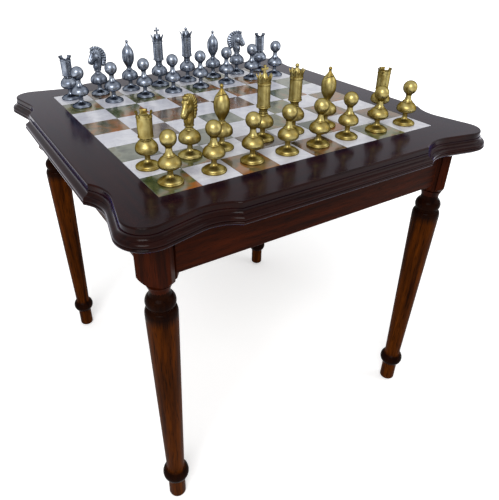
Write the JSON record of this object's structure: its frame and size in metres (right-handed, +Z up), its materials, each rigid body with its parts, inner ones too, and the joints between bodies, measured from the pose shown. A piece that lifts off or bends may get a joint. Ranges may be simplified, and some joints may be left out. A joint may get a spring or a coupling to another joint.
{
  "type": "chess set with board",
  "caption": "Dark mahogany games table with canted turned legs, a shaped moulded top with an inlaid marble and onyx chessboard, and turned brass and pewter chessmen",
  "frame": {"origin": "On the floor under the middle of the chessboard, on the plane of the foot glides", "axes": "+Z up; +X to the right and -Y towards the viewer who sits at the front, on the gold side"},
  "size_m": [0.6612, 0.6612, 0.7176],
  "materials": {
    "mahogany": "dark red-brown lacquer, gloss top and satin legs",
    "plain_timber": "sawn and unfinished",
    "white_marble": "polished",
    "brown_onyx": "polished, each square with its own banding",
    "satin_brass": "satin lacquered",
    "antique_pewter": "antique silver, dark in the recesses",
    "zinc_steel": "zinc plated",
    "glide_plastic": "moulded"
  },
  "bodies": {
    "table": {"core_panel": "plain_timber", "border_front": "mahogany", "border_right": "mahogany", "border_back": "mahogany", "border_left": "mahogany", "edge_moulding_front": "mahogany", "edge_moulding_right": "mahogany", "edge_moulding_back": "mahogany", "edge_moulding_left": "mahogany", "corner_moulding_front_left": "mahogany", "corner_moulding_front_right": "mahogany", "corner_moulding_back_right": "mahogany", "corner_moulding_back_left": "mahogany", "light_tiles": "white_marble", "dark_tiles": "brown_onyx", "apron_front": "mahogany", "apron_right": "mahogany", "apron_back": "mahogany", "apron_left": "mahogany", "leg_front_left": "mahogany", "leg_front_right": "mahogany", "leg_back_right": "mahogany", "leg_back_left": "mahogany", "corner_braces": "plain_timber", "hanger_bolts": "zinc_steel", "wing_nuts": "zinc_steel", "wood_screws": "zinc_steel", "foot_glides": "glide_plastic"},
    "gold_rook_left_body": {"gold_rook_left": "satin_brass"},
    "gold_knight_body": {"gold_knight": "satin_brass"},
    "gold_bishop_left_body": {"gold_bishop_left": "satin_brass"},
    "gold_king_body": {"gold_king": "satin_brass"},
    "gold_queen_body": {"gold_queen": "satin_brass"},
    "gold_bishop_right_body": {"gold_bishop_right": "satin_brass"},
    "gold_rook_right_body": {"gold_rook_right": "satin_brass"},
    "gold_pawn_1_body": {"gold_pawn_1": "satin_brass"},
    "gold_pawn_2_body": {"gold_pawn_2": "satin_brass"},
    "gold_pawn_3_body": {"gold_pawn_3": "satin_brass"},
    "gold_pawn_4_body": {"gold_pawn_4": "satin_brass"},
    "gold_pawn_5_body": {"gold_pawn_5": "satin_brass"},
    "gold_pawn_6_body": {"gold_pawn_6": "satin_brass"},
    "gold_pawn_7_body": {"gold_pawn_7": "satin_brass"},
    "gold_pawn_8_body": {"gold_pawn_8": "satin_brass"},
    "silver_rook_left_body": {"silver_rook_left": "antique_pewter"},
    "silver_knight_left_body": {"silver_knight_left": "antique_pewter"},
    "silver_bishop_left_body": {"silver_bishop_left": "antique_pewter"},
    "silver_king_body": {"silver_king": "antique_pewter"},
    "silver_queen_body": {"silver_queen": "antique_pewter"},
    "silver_bishop_right_body": {"silver_bishop_right": "antique_pewter"},
    "silver_knight_right_body": {"silver_knight_right": "antique_pewter"},
    "silver_rook_right_body": {"silver_rook_right": "antique_pewter"},
    "silver_pawn_1_body": {"silver_pawn_1": "antique_pewter"},
    "silver_pawn_2_body": {"silver_pawn_2": "antique_pewter"},
    "silver_pawn_3_body": {"silver_pawn_3": "antique_pewter"},
    "silver_pawn_4_body": {"silver_pawn_4": "antique_pewter"},
    "silver_pawn_5_body": {"silver_pawn_5": "antique_pewter"},
    "silver_pawn_6_body": {"silver_pawn_6": "antique_pewter"},
    "silver_pawn_7_body": {"silver_pawn_7": "antique_pewter"},
    "silver_pawn_8_body": {"silver_pawn_8": "antique_pewter"}
  },
  "joints": [
    {"name": "lift_gold_rook_left", "type": "slide", "parent": "table", "child": "gold_rook_left_body", "axis": [0, 0, 1], "range_m": [0, 0.12]},
    {"name": "lift_gold_knight", "type": "slide", "parent": "table", "child": "gold_knight_body", "axis": [0, 0, 1], "range_m": [0, 0.12]},
    {"name": "lift_gold_bishop_left", "type": "slide", "parent": "table", "child": "gold_bishop_left_body", "axis": [0, 0, 1], "range_m": [0, 0.12]},
    {"name": "lift_gold_king", "type": "slide", "parent": "table", "child": "gold_king_body", "axis": [0, 0, 1], "range_m": [0, 0.12]},
    {"name": "lift_gold_queen", "type": "slide", "parent": "table", "child": "gold_queen_body", "axis": [0, 0, 1], "range_m": [0, 0.12]},
    {"name": "lift_gold_bishop_right", "type": "slide", "parent": "table", "child": "gold_bishop_right_body", "axis": [0, 0, 1], "range_m": [0, 0.12]},
    {"name": "lift_gold_rook_right", "type": "slide", "parent": "table", "child": "gold_rook_right_body", "axis": [0, 0, 1], "range_m": [0, 0.12]},
    {"name": "lift_gold_pawn_1", "type": "slide", "parent": "table", "child": "gold_pawn_1_body", "axis": [0, 0, 1], "range_m": [0, 0.12]},
    {"name": "lift_gold_pawn_2", "type": "slide", "parent": "table", "child": "gold_pawn_2_body", "axis": [0, 0, 1], "range_m": [0, 0.12]},
    {"name": "lift_gold_pawn_3", "type": "slide", "parent": "table", "child": "gold_pawn_3_body", "axis": [0, 0, 1], "range_m": [0, 0.12]},
    {"name": "lift_gold_pawn_4", "type": "slide", "parent": "table", "child": "gold_pawn_4_body", "axis": [0, 0, 1], "range_m": [0, 0.12]},
    {"name": "lift_gold_pawn_5", "type": "slide", "parent": "table", "child": "gold_pawn_5_body", "axis": [0, 0, 1], "range_m": [0, 0.12]},
    {"name": "lift_gold_pawn_6", "type": "slide", "parent": "table", "child": "gold_pawn_6_body", "axis": [0, 0, 1], "range_m": [0, 0.12]},
    {"name": "lift_gold_pawn_7", "type": "slide", "parent": "table", "child": "gold_pawn_7_body", "axis": [0, 0, 1], "range_m": [0, 0.12]},
    {"name": "lift_gold_pawn_8", "type": "slide", "parent": "table", "child": "gold_pawn_8_body", "axis": [0, 0, 1], "range_m": [0, 0.12]},
    {"name": "lift_silver_rook_left", "type": "slide", "parent": "table", "child": "silver_rook_left_body", "axis": [0, 0, 1], "range_m": [0, 0.12]},
    {"name": "lift_silver_knight_left", "type": "slide", "parent": "table", "child": "silver_knight_left_body", "axis": [0, 0, 1], "range_m": [0, 0.12]},
    {"name": "lift_silver_bishop_left", "type": "slide", "parent": "table", "child": "silver_bishop_left_body", "axis": [0, 0, 1], "range_m": [0, 0.12]},
    {"name": "lift_silver_king", "type": "slide", "parent": "table", "child": "silver_king_body", "axis": [0, 0, 1], "range_m": [0, 0.12]},
    {"name": "lift_silver_queen", "type": "slide", "parent": "table", "child": "silver_queen_body", "axis": [0, 0, 1], "range_m": [0, 0.12]},
    {"name": "lift_silver_bishop_right", "type": "slide", "parent": "table", "child": "silver_bishop_right_body", "axis": [0, 0, 1], "range_m": [0, 0.12]},
    {"name": "lift_silver_knight_right", "type": "slide", "parent": "table", "child": "silver_knight_right_body", "axis": [0, 0, 1], "range_m": [0, 0.12]},
    {"name": "lift_silver_rook_right", "type": "slide", "parent": "table", "child": "silver_rook_right_body", "axis": [0, 0, 1], "range_m": [0, 0.12]},
    {"name": "lift_silver_pawn_1", "type": "slide", "parent": "table", "child": "silver_pawn_1_body", "axis": [0, 0, 1], "range_m": [0, 0.12]},
    {"name": "lift_silver_pawn_2", "type": "slide", "parent": "table", "child": "silver_pawn_2_body", "axis": [0, 0, 1], "range_m": [0, 0.12]},
    {"name": "lift_silver_pawn_3", "type": "slide", "parent": "table", "child": "silver_pawn_3_body", "axis": [0, 0, 1], "range_m": [0, 0.12]},
    {"name": "lift_silver_pawn_4", "type": "slide", "parent": "table", "child": "silver_pawn_4_body", "axis": [0, 0, 1], "range_m": [0, 0.12]},
    {"name": "lift_silver_pawn_5", "type": "slide", "parent": "table", "child": "silver_pawn_5_body", "axis": [0, 0, 1], "range_m": [0, 0.12]},
    {"name": "lift_silver_pawn_6", "type": "slide", "parent": "table", "child": "silver_pawn_6_body", "axis": [0, 0, 1], "range_m": [0, 0.12]},
    {"name": "lift_silver_pawn_7", "type": "slide", "parent": "table", "child": "silver_pawn_7_body", "axis": [0, 0, 1], "range_m": [0, 0.12]},
    {"name": "lift_silver_pawn_8", "type": "slide", "parent": "table", "child": "silver_pawn_8_body", "axis": [0, 0, 1], "range_m": [0, 0.12]}
  ]
}
